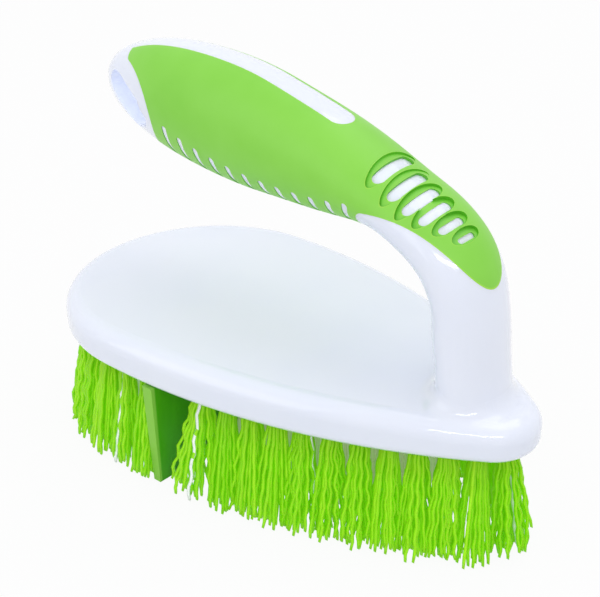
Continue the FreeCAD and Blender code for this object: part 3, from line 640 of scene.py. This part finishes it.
strandMesh = makeStrand(tuftStyle)
rand = random.Random(tuftStyle["seed"])
faceCount = 0
for nodeName in sorted(frame["nodes"]):
    if nodeName.startswith("green_tufts"):
        faceCount += growTufts(nodeName, "green", tuftStyle, strandMesh, rand)
    elif nodeName.startswith("white_tuft_row"):
        faceCount += growTufts(nodeName, "white", tuftStyle, strandMesh, rand)
bpy.data.meshes.remove(strandMesh)
print("filaments grown with", faceCount, "faces")


# pale floor that shows white to the camera and keeps a soft shadow
floorStyle = {"reach": 3.0, "colour": (0.72, 0.72, 0.73), "glow": 0.94}
plainWhite = {"Color": (1.0, 1.0, 1.0), "Strength": 1.0}


# 1 where the camera sees a thing, straight or in gloss or glass
def cameraMask(fin):
    straight, glossy, clear = (
        fin.node("LightPath", out=name)
        for name in ("Is Camera Ray", "Is Glossy Ray", "Is Transmission Ray")
    )
    return fin.node("Clamp", plugs={"Value": straight + glossy + clear})


def makeFloor(style):
    bm = bmesh.new()
    bmesh.ops.create_grid(bm, x_segments=1, y_segments=1, size=style["reach"])
    mesh = bpy.data.meshes.new("studio_floor")
    bm.to_mesh(mesh)
    bm.free()
    floor = bpy.data.objects.new("studio_floor", mesh)
    scene.collection.objects.link(floor)
    fin = Finish("paleFloor")
    plain = fin.node("BsdfDiffuse", plugs={"Color": style["colour"]})
    white = fin.node("Emission", plugs=plainWhite)
    shown = fin.node("MixShader", plugs={0: style["glow"], 1: plain, 2: white})
    both = fin.node("MixShader", plugs={0: cameraMask(fin), 1: plain, 2: shown})
    fin.node("OutputMaterial", plugs={"Surface": both})
    mesh.materials.append(fin.material)


makeFloor(floorStyle)
print("floor laid")


# white tent of light with two soft lamps and a narrow strip for the gloss
lightStyle = {
    "tentSide": 0.6,
    "tentTop": 0.97,
    "tentRise": (0.05, 0.8),
    "tentColour": (0.97, 0.98, 1.0),
    "aim": (0.0, 0.0, 0.05),
    "lamps": [
        {"name": "keySoftbox", "at": (-0.3, -0.8, 0.36), "size": (0.8, 0.6), "power": 1.1},
        {"name": "frontStrip", "at": (0.55, -0.47, 0.47), "size": (0.56, 0.06), "power": 0.85},
        {"name": "topSoftbox", "at": (0.1, 0.3, 0.95), "size": (0.7, 0.7), "power": 1.5},
    ],
}


def makeTent(style):
    world = bpy.data.worlds.new("studioTent")
    scene.world = world
    fin = Finish("studioTent", world)
    side, top = (
        fin.node("Background", plugs={"Color": style["tentColour"], "Strength": style[key]})
        for key in ("tentSide", "tentTop")
    )
    way = fin.node("TexCoord", out="Generated")
    rise = fin.node("SeparateXYZ", plugs={"Vector": way}, out="Z")
    glow = fin.node("MixShader", plugs={0: fin.span(rise, *style["tentRise"]), 1: side, 2: top})
    seen = fin.node("Background", plugs=plainWhite)
    both = fin.node("MixShader", plugs={0: cameraMask(fin), 1: glow, 2: seen})
    fin.node("OutputWorld", plugs={"Surface": both})


def makeLamp(lamp, aim):
    data = bpy.data.lights.new(lamp["name"], "AREA")
    data.shape = "RECTANGLE"
    data.size, data.size_y = lamp["size"]
    data.energy = lamp["power"]
    obj = bpy.data.objects.new(lamp["name"], data)
    scene.collection.objects.link(obj)
    obj.location = lamp["at"]
    obj.rotation_mode = "QUATERNION"
    obj.rotation_quaternion = (Vector(aim) - Vector(lamp["at"])).to_track_quat("-Z", "Y")


makeTent(lightStyle)
for lampStyle in lightStyle["lamps"]:
    makeLamp(lampStyle, lightStyle["aim"])
print("lights set")


# camera at the photograph's angle
cameraStyle = {
    "target": (0.93 * mm, 0.0, 49.73 * mm),
    "distance": 389.8 * mm,
    "azimuth": 41.39,
    "elevation": 28.13,
    "lens": 87.78,
    "sensor": 36.0,
    "shift": (-0.00565, -0.0070),
    "clip": (0.01, 20.0),
}


def makeCamera(style):
    data = bpy.data.cameras.new("photoCamera")
    data.lens = style["lens"]
    data.sensor_width = style["sensor"]
    data.shift_x, data.shift_y = style["shift"]
    data.clip_start, data.clip_end = style["clip"]
    camera = bpy.data.objects.new("photoCamera", data)
    scene.collection.objects.link(camera)
    rise = math.radians(style["elevation"])
    level = sideways(math.radians(style["azimuth"]) - math.pi / 2)
    back = level * math.cos(rise) + Vector((0.0, 0.0, math.sin(rise)))
    camera.location = Vector(style["target"]) + back * style["distance"]
    camera.rotation_mode = "QUATERNION"
    camera.rotation_quaternion = (-back).to_track_quat("-Z", "Y")
    scene.camera = camera


makeCamera(cameraStyle)
print("camera placed")
